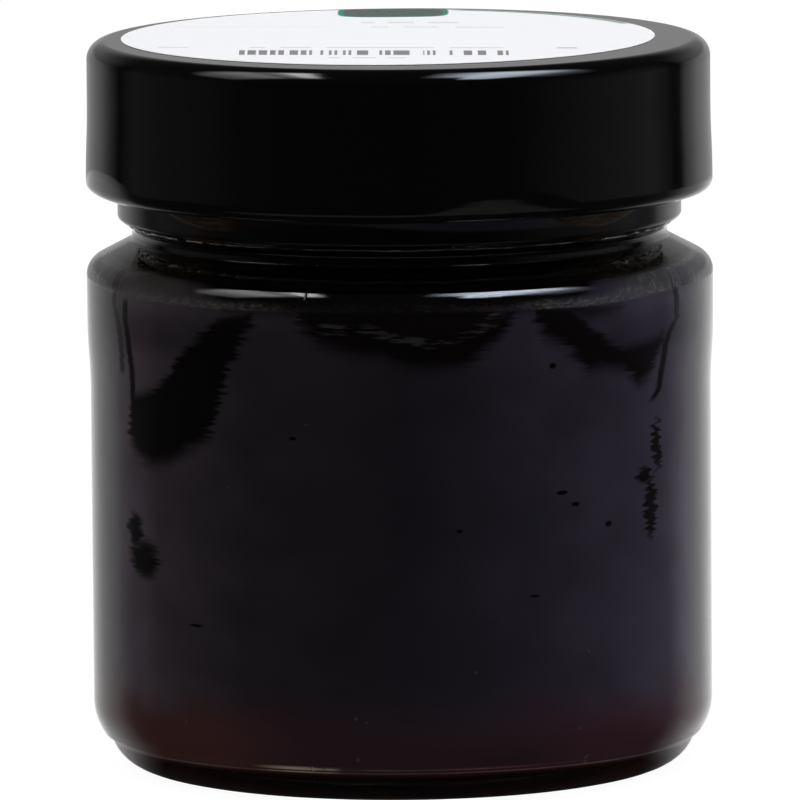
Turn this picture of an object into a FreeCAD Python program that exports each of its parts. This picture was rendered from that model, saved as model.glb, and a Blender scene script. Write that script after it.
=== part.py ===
import FreeCAD, Part
import os
import re

import Sketcher
from FreeCAD import Placement, Rotation, Vector

# A jar of honey: a squat glass jar with a deep twist-off lid.
# Millimetres, +Z up. The origin is the middle of the ring that the foot stands on.

# ---------------------------------------------------------------- driving sizes
# name, value, what it is
SIZES = [
    # the jar's outside, from the foot up
    ("shoulder_radius", 35.0, "largest radius, a band below the shoulder"),
    ("panel_recess", 0.3, "how far the side lies inside that band"),
    ("band_width", 6.1, "height of that band, up to where it meets the shoulder's slope"),
    ("blend_height", 8.5, "height of the soft step from the side to the band"),
    ("heel_round", 6.5, "radius of the heel"),
    ("heel_height", 7.5, "height where the heel has turned into the side"),
    ("foot_step", 1.9, "how far the foot lies inside the side"),
    ("foot_inset", 0.75, "how far the foot lies inside the heel's lower edge"),
    ("seam_drop", 0.3, "height of the step at that parting line"),
    ("foot_round", 4.6, "radius of the foot's underside"),
    ("foot_curve", 4.4, "how far that underside runs in before it touches down"),
    ("bearing_width", 2.2, "width of the ring that the jar stands on"),
    ("punt_slope", 1.8, "width of the slope from that ring up into the bottom"),
    ("punt_lip", 1.3, "height of that slope"),
    ("punt_height", 2.1, "how far the middle of the bottom is pushed up"),
    ("neck_height", 59.27, "height where the shoulder's slope meets the groove"),
    ("shoulder_slope", 27.6, "slope of the shoulder, degrees"),
    ("shoulder_round", 2.1, "radius between the band and the slope"),
    ("neck_depth", 1.05, "how far the groove lies inside the wall of the finish"),
    ("neck_round", 0.6, "radius of the fillets at the groove"),
    ("groove_width", 1.28, "height of the groove"),
    ("bead_flare", 1.2, "height of the cone from the groove out to the bead"),
    ("bead_width", 2.7, "height of the bead"),
    ("bead_reach", 0.55, "how far the bead stands out from the wall of the finish"),
    ("bead_round", 0.45, "radius of the bead's lower edge"),
    ("finish_radius", 30.95, "radius of the wall that carries the threads"),
    ("finish_height", 15.83, "height of that wall, from the bead to the rim"),
    ("rim_round", 0.9, "radius of the rim's edges"),
    # the jar's inside
    ("side_wall", 2.4, "glass at the side"),
    ("neck_wall", 1.8, "glass at the groove"),
    ("floor_height", 4.6, "height of the middle of the floor inside"),
    ("floor_drop", 1.2, "how far the floor falls from its middle to the wall"),
    ("floor_round", 5.5, "radius inside the heel"),
    ("inner_shoulder_round", 4.0, "radius inside the shoulder"),
    ("inner_neck_round", 3.0, "radius where the shoulder runs into the bore"),
    # the interrupted threads: crescents of a ring whose centre is set off the axis
    ("thread_tube", 1.1, "radius of a thread's section"),
    ("thread_reach", 1.75, "how far a thread stands out from its wall"),
    ("thread_offset", 6.5, "how far the ring's centre is set off the axis"),
    ("thread_pitch", 3.5, "slope of a thread, degrees"),
    ("thread_count", 4, "threads and lugs around the finish"),
    # the lid
    ("lid_metal", 0.22, "sheet thickness of the lid"),
    ("lid_depth", 16.85, "height of the lid"),
    ("lid_round", 2.0, "outer radius between the top and the skirt"),
    ("skirt_play", 1.88, "room between the threads and the skirt"),
    ("curl_spread", 0.2, "how far the rolled edge stands out from the skirt"),
    ("curl_round", 1.15, "radius of the rolled edge"),
    ("flare_height", 9.0, "height over which the skirt spreads to the rolled edge"),
    ("lug_depth", 1.1, "how far a lug reaches in under a thread"),
    ("lug_rise", 2.3, "height of a lug's top above the lid's lowest line"),
    ("lug_lift", 0.25, "height of a lug's underside above that line"),
    ("lug_round", 0.5, "radius of a lug's nose"),
    ("lug_spread", 15, "angle that a lug covers, degrees"),
    ("lug_play", 0.06, "gap between a lug and its thread"),
    ("lug_lead", 12, "angle from a lug to the middle of its thread, degrees"),
    ("lid_turn", 18, "how far the lid is turned about the axis, degrees"),
    # the sealing ring, the honey and the paper label
    ("seal_thickness", 0.9, "sealing compound between the rim and the lid"),
    ("seal_lip", 0.35, "how far the compound hangs beside the rim"),
    ("seal_play", 0.05, "gap between that hanging edge and the rim"),
    ("seal_inward", 0.7, "how far the compound reaches inside the bore"),
    ("seal_corner", 0.8, "how far it fills the lid's corner, past the flat"),
    ("head_space", 6.5, "height from the honey to the rim"),
    ("label_margin", 3.0, "width of the flat lid that the label leaves bare"),
    ("label_paper", 0.1, "thickness of the paper"),
    ("label_right", -1.15, "how far the disc is stuck off centre, along X"),
    ("label_back", 1.2, "how far the disc is stuck off centre, along Y"),
]

# ------------------------------------------------------- places worked out from them
PLACES = [
    # the finish and the heights that follow from the groove
    ("neck_radius", "finish_radius - neck_depth"),
    ("bead_radius", "finish_radius + bead_reach"),
    ("flare_start", "neck_height + groove_width"),
    ("bead_height", "flare_start + bead_flare"),
    ("bead_top", "bead_height + bead_width"),
    ("rim_height", "bead_top + finish_height"),
    # the shoulder and the side
    ("slope_rise", "tan(shoulder_slope * 1 deg)"),
    ("shoulder_height", "neck_height - (shoulder_radius - neck_radius) * slope_rise"),
    ("band_height", "shoulder_height - band_width"),
    ("blend_half", "band_height - blend_height / 2"),
    ("panel_height", "band_height - blend_height"),
    ("side_radius", "shoulder_radius - panel_recess"),
    ("blend_middle", "shoulder_radius - panel_recess / 2"),
    ("blend_round", "(blend_height ^ 2 + panel_recess ^ 2) / (4 * panel_recess)"),
    # the heel and the foot
    ("heel_centre", "side_radius - heel_round"),
    ("foot_radius", "side_radius - foot_step"),
    ("heel_edge", "foot_radius + foot_inset"),
    ("heel_low", "heel_height - sqrt(heel_round ^ 2 - (heel_edge - heel_centre) ^ 2)"),
    ("foot_top", "heel_low - seam_drop"),
    ("bearing_outer", "foot_radius - foot_curve"),
    ("bearing_inner", "bearing_outer - bearing_width"),
    ("punt_radius", "bearing_inner - punt_slope"),
    ("punt_rise", "punt_height - punt_lip"),
    ("punt_dome", "(punt_radius ^ 2 + punt_rise ^ 2) / (2 * punt_rise)"),
    # the inside of the glass
    ("inner_radius", "side_radius - side_wall"),
    ("bore_radius", "neck_radius - neck_wall"),
    ("floor_edge", "floor_height - floor_drop"),
    ("floor_dome", "(inner_radius ^ 2 + floor_drop ^ 2) / (2 * floor_drop)"),
    ("slope_drop", "side_wall / cos(shoulder_slope * 1 deg)"),
    ("inner_shoulder",
     "shoulder_height - slope_drop + (shoulder_radius - inner_radius) * slope_rise"),
    ("inner_neck", "shoulder_height - slope_drop + (shoulder_radius - bore_radius) * slope_rise"),
    ("honey_level", "rim_height - head_space"),
    # the lid's sheet
    ("lid_under", "rim_height + seal_thickness"),
    ("lid_top", "lid_under + lid_metal"),
    ("thread_outside", "finish_radius + thread_reach"),
    ("skirt_inside", "thread_outside + skirt_play"),
    ("skirt_radius", "skirt_inside + lid_metal"),
    ("round_low", "lid_top - lid_round"),
    ("round_edge", "skirt_radius - lid_round"),
    ("lid_inner_round", "lid_round - lid_metal"),
    ("curl_radius", "skirt_radius + curl_spread"),
    ("curl_wall", "curl_radius - lid_metal"),
    ("curl_centre", "curl_radius - curl_round"),
    ("curl_inside", "curl_centre - curl_round"),
    ("curl_hollow", "curl_inside + lid_metal"),
    ("curl_inner_round", "curl_round - lid_metal"),
    ("curl_height", "lid_top - lid_depth"),
    ("curl_floor", "curl_height + lid_metal"),
    ("curl_middle", "curl_height + curl_round"),
    ("curl_top", "curl_middle + curl_round"),
    ("curl_end", "curl_top - lid_metal"),
    ("flare_top", "curl_middle + flare_height"),
    ("flare_half", "curl_middle + flare_height / 2"),
    ("flare_middle", "skirt_radius + curl_spread / 2"),
    ("flare_inside", "flare_middle - lid_metal"),
    ("flare_round", "(flare_height ^ 2 + curl_spread ^ 2) / (4 * curl_spread)"),
    # the lugs, and the threads that they seat under: where a thread's tube comes lowest
    # over a lug, and how high it lies to clear the lug's rounded nose
    ("lug_inside", "thread_outside - lug_depth"),
    ("lug_shoulder", "lug_inside + lug_round"),
    ("lug_top", "curl_height + lug_rise"),
    ("lug_high", "lug_top - lug_round"),
    ("lug_bottom", "curl_height + lug_lift"),
    ("lug_low", "lug_bottom + lug_round"),
    ("lug_end", "lug_lead + lug_spread / 2"),
    ("thread_ring", "thread_outside - thread_tube - thread_offset"),
    ("lug_spine",
     "thread_offset * cos(lug_end * 1 deg)"
     " + sqrt(thread_ring ^ 2 - (thread_offset * sin(lug_end * 1 deg)) ^ 2)"),
    ("thread_drop", "lug_spine * sin(lug_end * 1 deg) * sin(thread_pitch * 1 deg)"),
    ("thread_clear",
     "sqrt((thread_tube + lug_round + lug_play) ^ 2 - (lug_shoulder - lug_spine) ^ 2)"),
    ("thread_height", "lug_high + thread_clear + thread_drop"),
    # the sealing ring and the label
    ("seal_low", "rim_height - seal_lip"),
    ("seal_seat", "finish_radius + seal_play"),
    ("seal_inner", "bore_radius - seal_inward"),
    ("seal_outer", "round_edge + seal_corner"),
    ("seal_high", "round_low + sqrt(lid_inner_round ^ 2 - (seal_outer - round_edge) ^ 2)"),
    ("label_radius", "round_edge - label_margin"),
]

AXIS = "0"    # radius of a corner that lies on the axis
FLOOR = "0"   # height of a corner that lies on what the jar stands on
NEAR = 1e-4   # how close an edge must be to its stated radius and height

doc = FreeCAD.newDocument("honey_jar")


# ------------------------------------------------------------- the document's values
def fill_sheet():
    """The spreadsheet: one row for each driving size."""
    sheet = doc.addObject("Spreadsheet::Sheet", "sizes")
    for row, (name, number, note) in enumerate(SIZES, 1):
        sheet.set("A%d" % row, name)
        sheet.set("B%d" % row, str(number))
        sheet.set("C%d" % row, note)
        sheet.setAlias("B%d" % row, name)
    doc.recompute()
    return sheet


def work_out():
    """The variable set: places that follow from the sheet, each bound to it."""
    places = doc.addObject("App::VarSet", "places")
    for name, expression in PLACES:
        places.addProperty("App::PropertyFloat", name, "Places")
        places.setExpression(name, full(expression))
    doc.recompute()
    return places


HOMES = {name: "sizes" for name, _, _ in SIZES}
HOMES.update({name: "places" for name, _ in PLACES})


def full(expression):
    """The expression with each name led by the object that holds it."""
    return re.sub(r"[a-z]+(?:_[a-z]+)+", lambda word: HOMES[word[0]] + "." + word[0], expression)


def value(name):
    """The present value of a size or a place."""
    return 0.0 if name in (AXIS, FLOOR) else float(getattr(doc.getObject(HOMES[name]), name))


# --------------------------------------------------------------------- shared steps
def new_body(name):
    """An empty body whose label is its node's name."""
    body = doc.addObject("PartDesign::Body", name)
    body.Label = name
    return body


def origin_part(body, role):
    """The origin plane or axis of a body that plays the given role."""
    return next(part for part in body.Origin.OriginFeatures if part.Role == role)


def arc_between(here, there, side, radius):
    """The shorter arc from one point to the next, its centre on the given side of the way.

    Returns the arc and the numbers of its points at the start and the end of the way.
    """
    way = there.sub(here)
    left = Vector(-way.y, way.x, 0).normalize()
    height = (radius ** 2 - (way.Length / 2) ** 2) ** 0.5
    turn = 1 if side == "left" else -1
    centre = here.add(way * 0.5).add(left * (turn * height))
    circle = Part.Circle(centre, Vector(0, 0, 1), radius)
    ends = (here, there) if side == "left" else (there, here)
    arc = Part.ArcOfCircle(circle, *[circle.parameter(point) for point in ends])
    return arc, (1, 2) if side == "left" else (2, 1)


def outline(body, name, corners):
    """Draw a closed outline in the body's upright plane and bind each corner to its values.

    A corner is (radius, height). One that is followed by an arc also has the side on
    which the arc's centre lies and the arc's radius: (radius, height, "left", radius).
    """
    sketch = body.newObject("Sketcher::SketchObject", name)
    sketch.AttachmentSupport = [(origin_part(body, "XZ_Plane"), "")]
    sketch.MapMode = "FlatFace"
    points = [Vector(value(corner[0]), value(corner[1]), 0) for corner in corners]
    ways = []
    for here, there, corner in zip(points, points[1:] + points[:1], corners):
        if len(corner) == 2:
            sketch.addGeometry(Part.LineSegment(here, there))
            ways.append((1, 2))
        else:
            arc, ends = arc_between(here, there, corner[2], value(corner[3]))
            sketch.addGeometry(arc)
            ways.append(ends)
    for number, corner in enumerate(corners):
        start = ways[number][0]
        after = (number + 1) % len(corners)
        sketch.addConstraint(
            Sketcher.Constraint("Coincident", number, ways[number][1], after, ways[after][0]))
        if corner[0] == AXIS:
            sketch.addConstraint(Sketcher.Constraint("PointOnObject", number, start, -2))
        else:
            bind(sketch, "DistanceX", (number, start), corner[0])
        if corner[1] == FLOOR:
            sketch.addConstraint(Sketcher.Constraint("PointOnObject", number, start, -1))
        else:
            bind(sketch, "DistanceY", (number, start), corner[1])
        if len(corner) > 2:
            bind(sketch, "Radius", (number,), corner[3])
    doc.recompute()
    return sketch


def bind(sketch, kind, place, name):
    """Add one dimension to a sketch and bind it to a size or a place."""
    index = sketch.addConstraint(Sketcher.Constraint(kind, *place, value(name)))
    sketch.setExpression("Constraints[%d]" % index, full(name))


def turned(body, kind, name, sketch, angle=None):
    """A Revolution or a Groove of a sketch about the upright axis."""
    feature = body.newObject("PartDesign::" + kind, name)
    feature.Profile = sketch
    feature.ReferenceAxis = (sketch, ["V_Axis"])
    feature.Angle = 360
    if angle:
        feature.Midplane = True
        feature.setExpression("Angle", full(angle))
    doc.recompute()
    return feature


def rounded(body, base, name, radius, corners):
    """Fillet the circles that the given corners of an outline sweep."""
    edges = []
    for number, edge in enumerate(base.Shape.Edges, 1):
        if edge.Degenerated or not isinstance(edge.Curve, Part.Circle):
            continue
        ring = edge.Curve
        if any(abs(ring.Radius - value(wide)) < NEAR and abs(ring.Center.z - value(high)) < NEAR
               for wide, high in corners):
            edges.append("Edge%d" % number)
    fillet = body.newObject("PartDesign::Fillet", name)
    fillet.Base = (base, edges)
    fillet.setExpression("Radius", full(radius))
    doc.recompute()
    return fillet


def around(body, name, feature):
    """Repeat one feature evenly about the upright axis, once for each thread."""
    pattern = body.newObject("PartDesign::PolarPattern", name)
    pattern.Originals = [feature]
    pattern.Axis = (origin_part(body, "Z_Axis"), [""])
    pattern.Angle = 360
    pattern.setExpression("Occurrences", full("thread_count"))
    body.Tip = pattern
    doc.recompute()
    return pattern


def turn_body(body, expression):
    """Turn a finished body about the axis."""
    body.Placement = Placement(Vector(0, 0, 0), Rotation(Vector(0, 0, 1), 1))
    body.setExpression("Placement.Rotation.Angle", full(expression))


# ------------------------------------------------------------------------ the pieces
# What the inside of the glass and the honey share, from the axis out and up.
CAVITY = [
    (AXIS, "floor_height", "right", "floor_dome"),
    ("inner_radius", "floor_edge"),
    ("inner_radius", "inner_shoulder"),
    ("bore_radius", "inner_neck"),
]


def round_cavity(body, base):
    """The three fillets that the glass's inside and the honey have in common."""
    floor = rounded(body, base, "floor_fillet", "floor_round", CAVITY[1:2])
    shoulder = rounded(body, floor, "inner_shoulder_fillet", "inner_shoulder_round", CAVITY[2:3])
    return rounded(body, shoulder, "inner_neck_fillet", "inner_neck_round", CAVITY[3:])


def make_glass():
    """The jar: a turned blank with its threads, hollowed out by the cavity."""
    body = new_body("jar_glass")
    blank = turned(body, "Revolution", "blank", outline(body, "blank_outline", [
        (AXIS, "punt_height"),
        (AXIS, "rim_height"),
        ("finish_radius", "rim_height"),
        ("finish_radius", "bead_top"),
        ("bead_radius", "bead_top"),
        ("bead_radius", "bead_height"),
        ("neck_radius", "flare_start"),
        ("neck_radius", "neck_height"),
        ("shoulder_radius", "shoulder_height"),
        ("shoulder_radius", "band_height", "right", "blend_round"),
        ("blend_middle", "blend_half", "left", "blend_round"),
        ("side_radius", "panel_height"),
        ("side_radius", "heel_height", "right", "heel_round"),
        ("heel_edge", "heel_low"),
        ("foot_radius", "foot_top", "right", "foot_round"),
        ("bearing_outer", FLOOR),
        ("bearing_inner", FLOOR),
        ("punt_radius", "punt_lip", "left", "punt_dome"),
    ]))
    shoulder = rounded(body, blank, "shoulder_fillet", "shoulder_round",
                       [("shoulder_radius", "shoulder_height")])
    neck = rounded(body, shoulder, "neck_fillet", "neck_round",
                   [("neck_radius", "neck_height"), ("neck_radius", "flare_start")])
    rounded(body, neck, "bead_fillet", "bead_round", [("bead_radius", "bead_height")])
    add_threads(body)
    hollow = turned(body, "Groove", "cavity", outline(body, "cavity_outline", CAVITY + [
        ("bore_radius", "rim_height"),
        (AXIS, "rim_height"),
    ]))
    inside = round_cavity(body, hollow)
    rounded(body, inside, "rim_fillet", "rim_round",
            [("bore_radius", "rim_height"), ("finish_radius", "rim_height")])
    turn_body(body, "lid_turn + lug_lead")
    return body


def add_threads(body):
    """Four sloping crescents: a tube bent to a ring that dives into the wall at both ends."""
    thread = body.newObject("PartDesign::AdditiveTorus", "thread")
    thread.AttachmentSupport = [(origin_part(body, "XY_Plane"), "")]
    thread.MapMode = "FlatFace"
    slope = Rotation(Vector(1, 0, 0), 1)
    thread.AttachmentOffset = Placement(Vector(1, 0, 1), slope)
    thread.setExpression("AttachmentOffset.Base.x", full("thread_offset"))
    thread.setExpression("AttachmentOffset.Base.z", full("thread_height"))
    thread.setExpression("AttachmentOffset.Rotation.Angle", full("thread_pitch"))
    thread.setExpression("Radius1", full("thread_ring"))
    thread.setExpression("Radius2", full("thread_tube"))
    doc.recompute()
    return around(body, "threads", thread)


def make_honey():
    """The honey: it fills the cavity face to face, up to its level in the neck."""
    body = new_body("honey")
    fill = turned(body, "Revolution", "fill", outline(body, "honey_outline", CAVITY + [
        ("bore_radius", "honey_level"),
        (AXIS, "honey_level"),
    ]))
    round_cavity(body, fill)
    return body


def make_lid():
    """The lid: one thin sheet, rounded over, flared and rolled in, with its pressed lugs."""
    body = new_body("lid")
    turned(body, "Revolution", "shell", outline(body, "shell_outline", [
        (AXIS, "lid_top"),
        ("round_edge", "lid_top", "right", "lid_round"),
        ("skirt_radius", "round_low"),
        ("skirt_radius", "flare_top", "left", "flare_round"),
        ("flare_middle", "flare_half", "right", "flare_round"),
        ("curl_radius", "curl_middle", "right", "curl_round"),
        ("curl_centre", "curl_height", "right", "curl_round"),
        ("curl_inside", "curl_middle", "right", "curl_round"),
        ("curl_centre", "curl_top"),
        ("curl_centre", "curl_end", "left", "curl_inner_round"),
        ("curl_hollow", "curl_middle", "left", "curl_inner_round"),
        ("curl_centre", "curl_floor", "left", "curl_inner_round"),
        ("curl_wall", "curl_middle", "left", "flare_round"),
        ("flare_inside", "flare_half", "right", "flare_round"),
        ("skirt_inside", "flare_top"),
        ("skirt_inside", "round_low", "left", "lid_inner_round"),
        ("round_edge", "lid_under"),
        (AXIS, "lid_under"),
    ]))
    lug = turned(body, "Revolution", "lug", outline(body, "lug_outline", [
        ("curl_centre", "lug_bottom"),
        ("curl_centre", "lug_top"),
        ("lug_shoulder", "lug_top", "left", "lug_round"),
        ("lug_inside", "lug_high"),
        ("lug_inside", "lug_low", "left", "lug_round"),
        ("lug_shoulder", "lug_bottom"),
    ]), "lug_spread")
    around(body, "lugs", lug)
    turn_body(body, "lid_turn")
    return body


def make_gasket():
    """The sealing compound: a flat ring on the rim with an edge that hangs beside it."""
    body = new_body("gasket")
    turned(body, "Revolution", "ring", outline(body, "ring_outline", [
        ("seal_inner", "rim_height"),
        ("seal_inner", "lid_under"),
        ("round_edge", "lid_under", "right", "lid_inner_round"),
        ("seal_outer", "seal_high"),
        ("seal_outer", "seal_low"),
        ("seal_seat", "seal_low"),
        ("seal_seat", "rim_height"),
    ]))
    return body


def make_label():
    """The round paper label, stuck a little off centre on the lid."""
    disc = doc.addObject("Part::Cylinder", "label")
    disc.Label = "label"
    disc.setExpression("Radius", full("label_radius"))
    disc.setExpression("Height", full("label_paper"))
    disc.setExpression("Placement.Base.x", full("label_right"))
    disc.setExpression("Placement.Base.y", full("label_back"))
    disc.setExpression("Placement.Base.z", full("lid_top"))
    return disc


def check(pieces):
    """Stop if any object of the document failed or any piece isn't one sound solid."""
    for item in doc.Objects:
        if "Invalid" in item.State or "Error" in item.State:
            raise RuntimeError("%s failed: %s" % (item.Label, item.State))
    for piece in pieces:
        shape = piece.Shape
        if shape.isNull() or not shape.isValid() or len(shape.Solids) != 1:
            raise RuntimeError("%s isn't one sound solid" % piece.Label)


def main():
    fill_sheet()
    work_out()
    pieces = [make_glass(), make_honey(), make_lid(), make_gasket(), make_label()]
    doc.recompute()
    check(pieces)
    os.makedirs("parts", exist_ok=True)
    for piece in pieces:
        piece.Shape.exportStep("parts/%s.step" % piece.Label)
        print("%-10s %8.2f cm3" % (piece.Label, piece.Shape.Volume / 1000))


main()
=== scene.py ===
# %% [markdown]
# # A jar of dark honey
# A squat glass jar, a deep black twist-off lid, a paper label on the lid and honey
# so dark that light only gets through it at the edges. Everything round about this
# object is turned about one upright axis, so nearly every piece here is a profile,
# drawn once in a plane, and carried round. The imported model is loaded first: it says
# where each piece is, and the finer pieces made here take its place.

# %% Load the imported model
import math

import bpy
import numpy as np
from mathutils import Matrix, Quaternion, Vector


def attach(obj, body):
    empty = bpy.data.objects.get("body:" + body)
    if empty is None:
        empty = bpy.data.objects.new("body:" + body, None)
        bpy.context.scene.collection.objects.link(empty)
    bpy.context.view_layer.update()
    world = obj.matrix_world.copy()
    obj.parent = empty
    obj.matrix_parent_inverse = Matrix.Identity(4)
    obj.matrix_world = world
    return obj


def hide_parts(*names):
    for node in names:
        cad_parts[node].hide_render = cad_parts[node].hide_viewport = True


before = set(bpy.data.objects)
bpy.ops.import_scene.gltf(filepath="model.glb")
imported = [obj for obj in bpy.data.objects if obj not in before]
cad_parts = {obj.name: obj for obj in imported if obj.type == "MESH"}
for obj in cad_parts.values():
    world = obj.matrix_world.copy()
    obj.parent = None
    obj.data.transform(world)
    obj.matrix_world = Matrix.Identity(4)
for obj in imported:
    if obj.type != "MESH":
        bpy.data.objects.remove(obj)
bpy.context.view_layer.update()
print("nodes:", ", ".join(sorted(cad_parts)))

# %% [markdown]
# ## Camera
# A long lens looks at the jar from a metre and a half away and from a little above it. A
# long lens keeps the sides of the jar upright. The camera is set first, because every
# finish is judged from here, and it is rolled by under half a degree, so the jar leans a
# hair.

# %% Camera
DISTANCE = 1.5
FOCAL_LENGTH = 603
LOOK_DOWN = math.radians(7.5)
LEAN = math.radians(-0.44)

aim = Vector((-0.0001, 0, 0.0407))
eye = aim + DISTANCE * Vector((0, -math.cos(LOOK_DOWN), math.sin(LOOK_DOWN)))
lens = bpy.data.cameras.new("camera")
lens.lens = FOCAL_LENGTH
camera = bpy.data.objects.new("camera", lens)
camera.location = eye
turn = (aim - eye).to_track_quat("-Z", "Y") @ Quaternion((0, 0, 1), LEAN)
camera.rotation_euler = turn.to_euler()
bpy.context.collection.objects.link(camera)
bpy.context.scene.camera = camera
bpy.context.scene.view_settings.view_transform = "Standard"
print("camera at", [round(v, 4) for v in eye])

# %% [markdown]
# ## Drawing a profile
# A turner's profile is straight runs joined by rounds. Here it is written as a list of
# corners, each with a radius and a height in millimetres and, if it is rounded, the
# radius of its round. The rounds are worked out as arcs that touch both of their sides.

# %% Profiles
MM = 0.001
SAME = 1e-4


def rounded(corners, per_round=10):
    """A path through (radius, height, round) corners. Where a corner has a round, the
    path leaves one side at a distance of round / tan(half the corner's angle), follows
    the circle that touches both sides, and joins the other side at that distance."""
    corners = [(c + (0,))[:3] for c in corners]
    path = [np.array([corners[0][:2]], float)]
    for before, here, after in zip(corners, corners[1:], corners[2:]):
        corner = np.array(here[:2], float)
        if not here[2]:
            path.append(corner[None])
            continue
        back = np.array(before[:2]) - corner
        on = np.array(after[:2]) - corner
        back /= np.linalg.norm(back)
        on /= np.linalg.norm(on)
        half = math.acos(np.clip(back @ on, -1, 1)) / 2
        middle = (back + on) / np.linalg.norm(back + on)
        centre = corner + middle * here[2] / math.sin(half)
        first = corner + back * here[2] / math.tan(half) - centre
        last = corner + on * here[2] / math.tan(half) - centre
        sweep = math.pi - 2 * half
        share = np.linspace(0, 1, per_round)[:, None]
        path.append(centre + (np.sin((1 - share) * sweep) * first
                              + np.sin(share * sweep) * last) / math.sin(sweep))
    path.append(np.array([corners[-1][:2]], float))
    return np.concatenate(path)


def arc(centre, size, start, end, count=12):
    """Points centre + size * (cos, sin) of an angle that runs from start to end."""
    angle = np.radians(np.linspace(start, end, count))
    return centre + size * np.stack([np.cos(angle), np.sin(angle)], 1)


def eased(path, step):
    """The same path with points added along its straight runs, about a step apart, and
    close to both ends of each run, so that smooth shading stays flat where it is flat.
    Of two points in the same place only one is kept."""
    apart = np.linalg.norm(np.diff(path, axis=0), axis=1) > SAME
    path = path[np.concatenate([[True], apart])]
    parts = []
    for start, end in zip(path[:-1], path[1:]):
        length = np.linalg.norm(end - start)
        if length > 1.5 * step:
            inner = np.linspace(step, length - step, max(2, int(length / step)))
            near = 0.1 * step
            share = np.concatenate([[0, near], inner, [length - near]]) / length
        else:
            share = np.array([0.0])
        parts.append(start + share[:, None] * (end - start))
    return np.concatenate(parts + [path[-1:]])


# %% [markdown]
# ## Carrying a profile round
# The grid has one column of points for each angle. The piece's own features, such as
# threads or lugs, are a change to the radius that depends on the angle and the height.
# Where a profile starts or ends on the axis, one single point closes the surface.
# Blender's Spin tool could do this too, but then the features would have to be cut in
# afterwards. The count of columns is a multiple of four, so that the four widest points
# of each ring are points of the mesh and the piece is exactly as wide as it should be.

# %% From a grid to a mesh
def meshed(name, points, quads, fans):
    """A mesh object from points in millimetres, four-sided faces and three-sided ones.
    Its volume is a sixth of the sum of one . (two x three) over all its triangles."""
    mesh = bpy.data.meshes.new(name)
    mesh.vertices.add(len(points))
    mesh.vertices.foreach_set("co", (points * MM).astype(np.float32).ravel())
    corners = np.concatenate([quads.ravel(), fans.ravel()])
    mesh.loops.add(len(corners))
    mesh.loops.foreach_set("vertex_index", corners.astype(np.int32))
    sizes = np.concatenate([np.full(len(quads), 4), np.full(len(fans), 3)])
    mesh.polygons.add(len(sizes))
    mesh.polygons.foreach_set("loop_start", (np.cumsum(sizes) - sizes).astype(np.int32))
    mesh.polygons.foreach_set("use_smooth", np.ones(len(sizes), bool))
    mesh.update(calc_edges=True)
    mesh.validate()
    piece = bpy.data.objects.new(name, mesh)
    bpy.context.collection.objects.link(piece)
    triangles = np.concatenate([quads[:, :3], quads[:, [0, 2, 3]], fans])
    one, two, three = (points[triangles[:, i]] for i in range(3))
    volume = (one * np.cross(two, three)).sum() / 6 * MM
    print("%s: %d triangles, %.2f cm3" % (name, len(triangles), volume))
    return piece


# %% Turned pieces
AROUND = 288


def turned(name, profile, shape=None, around=AROUND, closed=False):
    """Surface: (r cos a, r sin a, z) for every angle a and every profile point (r, z).
    Shape may change r and z before that. A closed profile joins its end to its start;
    an open one starts and ends on the axis, where one point takes a whole ring's place."""
    angle = np.arange(around) * 2 * np.pi / around
    ring = profile if closed else profile[1:-1]
    r = np.repeat(ring[:, :1], around, 1)
    z = np.repeat(ring[:, 1:], around, 1)
    a = np.repeat(angle[None], len(ring), 0)
    if shape:
        r, z = shape(r, z, a)
    points = np.stack([r * np.cos(a), r * np.sin(a), z], -1).reshape(-1, 3)
    rows = len(ring)
    index = np.arange(rows * around).reshape(rows, around)
    upper = np.roll(index, -1, 0) if closed else index[1:]
    lower = index if closed else index[:-1]
    quads = np.stack([lower, np.roll(lower, -1, 1), np.roll(upper, -1, 1), upper], -1)
    quads = quads.reshape(-1, 4)
    if closed:
        return meshed(name, points, quads, np.zeros((0, 3), int))
    count = len(points)
    points = np.concatenate([points, [[0, 0, profile[0, 1]], [0, 0, profile[-1, 1]]]])
    first, last = index[0], index[-1]
    start = np.stack([np.full(around, count), np.roll(first, -1), first], -1)
    end = np.stack([np.full(around, count + 1), last, np.roll(last, -1)], -1)
    return meshed(name, points, quads, np.concatenate([start, end]))


# %% [markdown]
# ## The jar's outside
# From the middle of the pushed-up bottom, out over the ring that it stands on, round the
# foot, past the small step where the mould's base plate met its sides, up the wall, over
# the shoulder, in to the groove under the bead, and up the wall that carries the threads.

# %% The jar's sizes
# Radii, in millimetres
SHOULDER, SIDE, FOOT, HEEL_EDGE = 35.0, 34.7, 32.8, 33.55
FINISH, GROOVE, BEAD = 30.95, 29.9, 31.5
PUSH_UP, RING_IN, RING_OUT = 24.4, 26.2, 28.4
# Heights
PUSH_UP_TOP, PUSH_UP_DROP, HEEL_TOP = 2.1, 0.8, 7.5
BAND_LOW, BAND_TOP, SHOULDER_TOP = 42.0, 50.5, 56.6
BEAD_LOW, BEAD_TOP, RIM = 61.75, 64.45, 80.28
# Rounds, walls and the shoulder's slope
HEEL_ROUND, FOOT_ROUND, RIM_ROUND = 6.5, 4.6, 0.9
WALL, NECK_WALL, PARTING_STEP = 2.4, 1.8, 0.3
LEVEL_TO_SLOPE = math.radians(27.6)
SLOPE = math.tan(LEVEL_TO_SLOPE)
BORE = GROOVE - NECK_WALL
GROOVE_LOW = SHOULDER_TOP + (SHOULDER - GROOVE) * SLOPE


def soft_step(r_low, r_high, z_low, z_high, count=16):
    """Two arcs that bend one way and back: half a step each, as parabolas of the height."""
    share = np.linspace(0, 1, count)
    bend = np.where(share < 0.5, 2 * share ** 2, 1 - 2 * (1 - share) ** 2)
    return np.stack([r_low + (r_high - r_low) * bend, z_low + (z_high - z_low) * share], 1)


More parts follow.
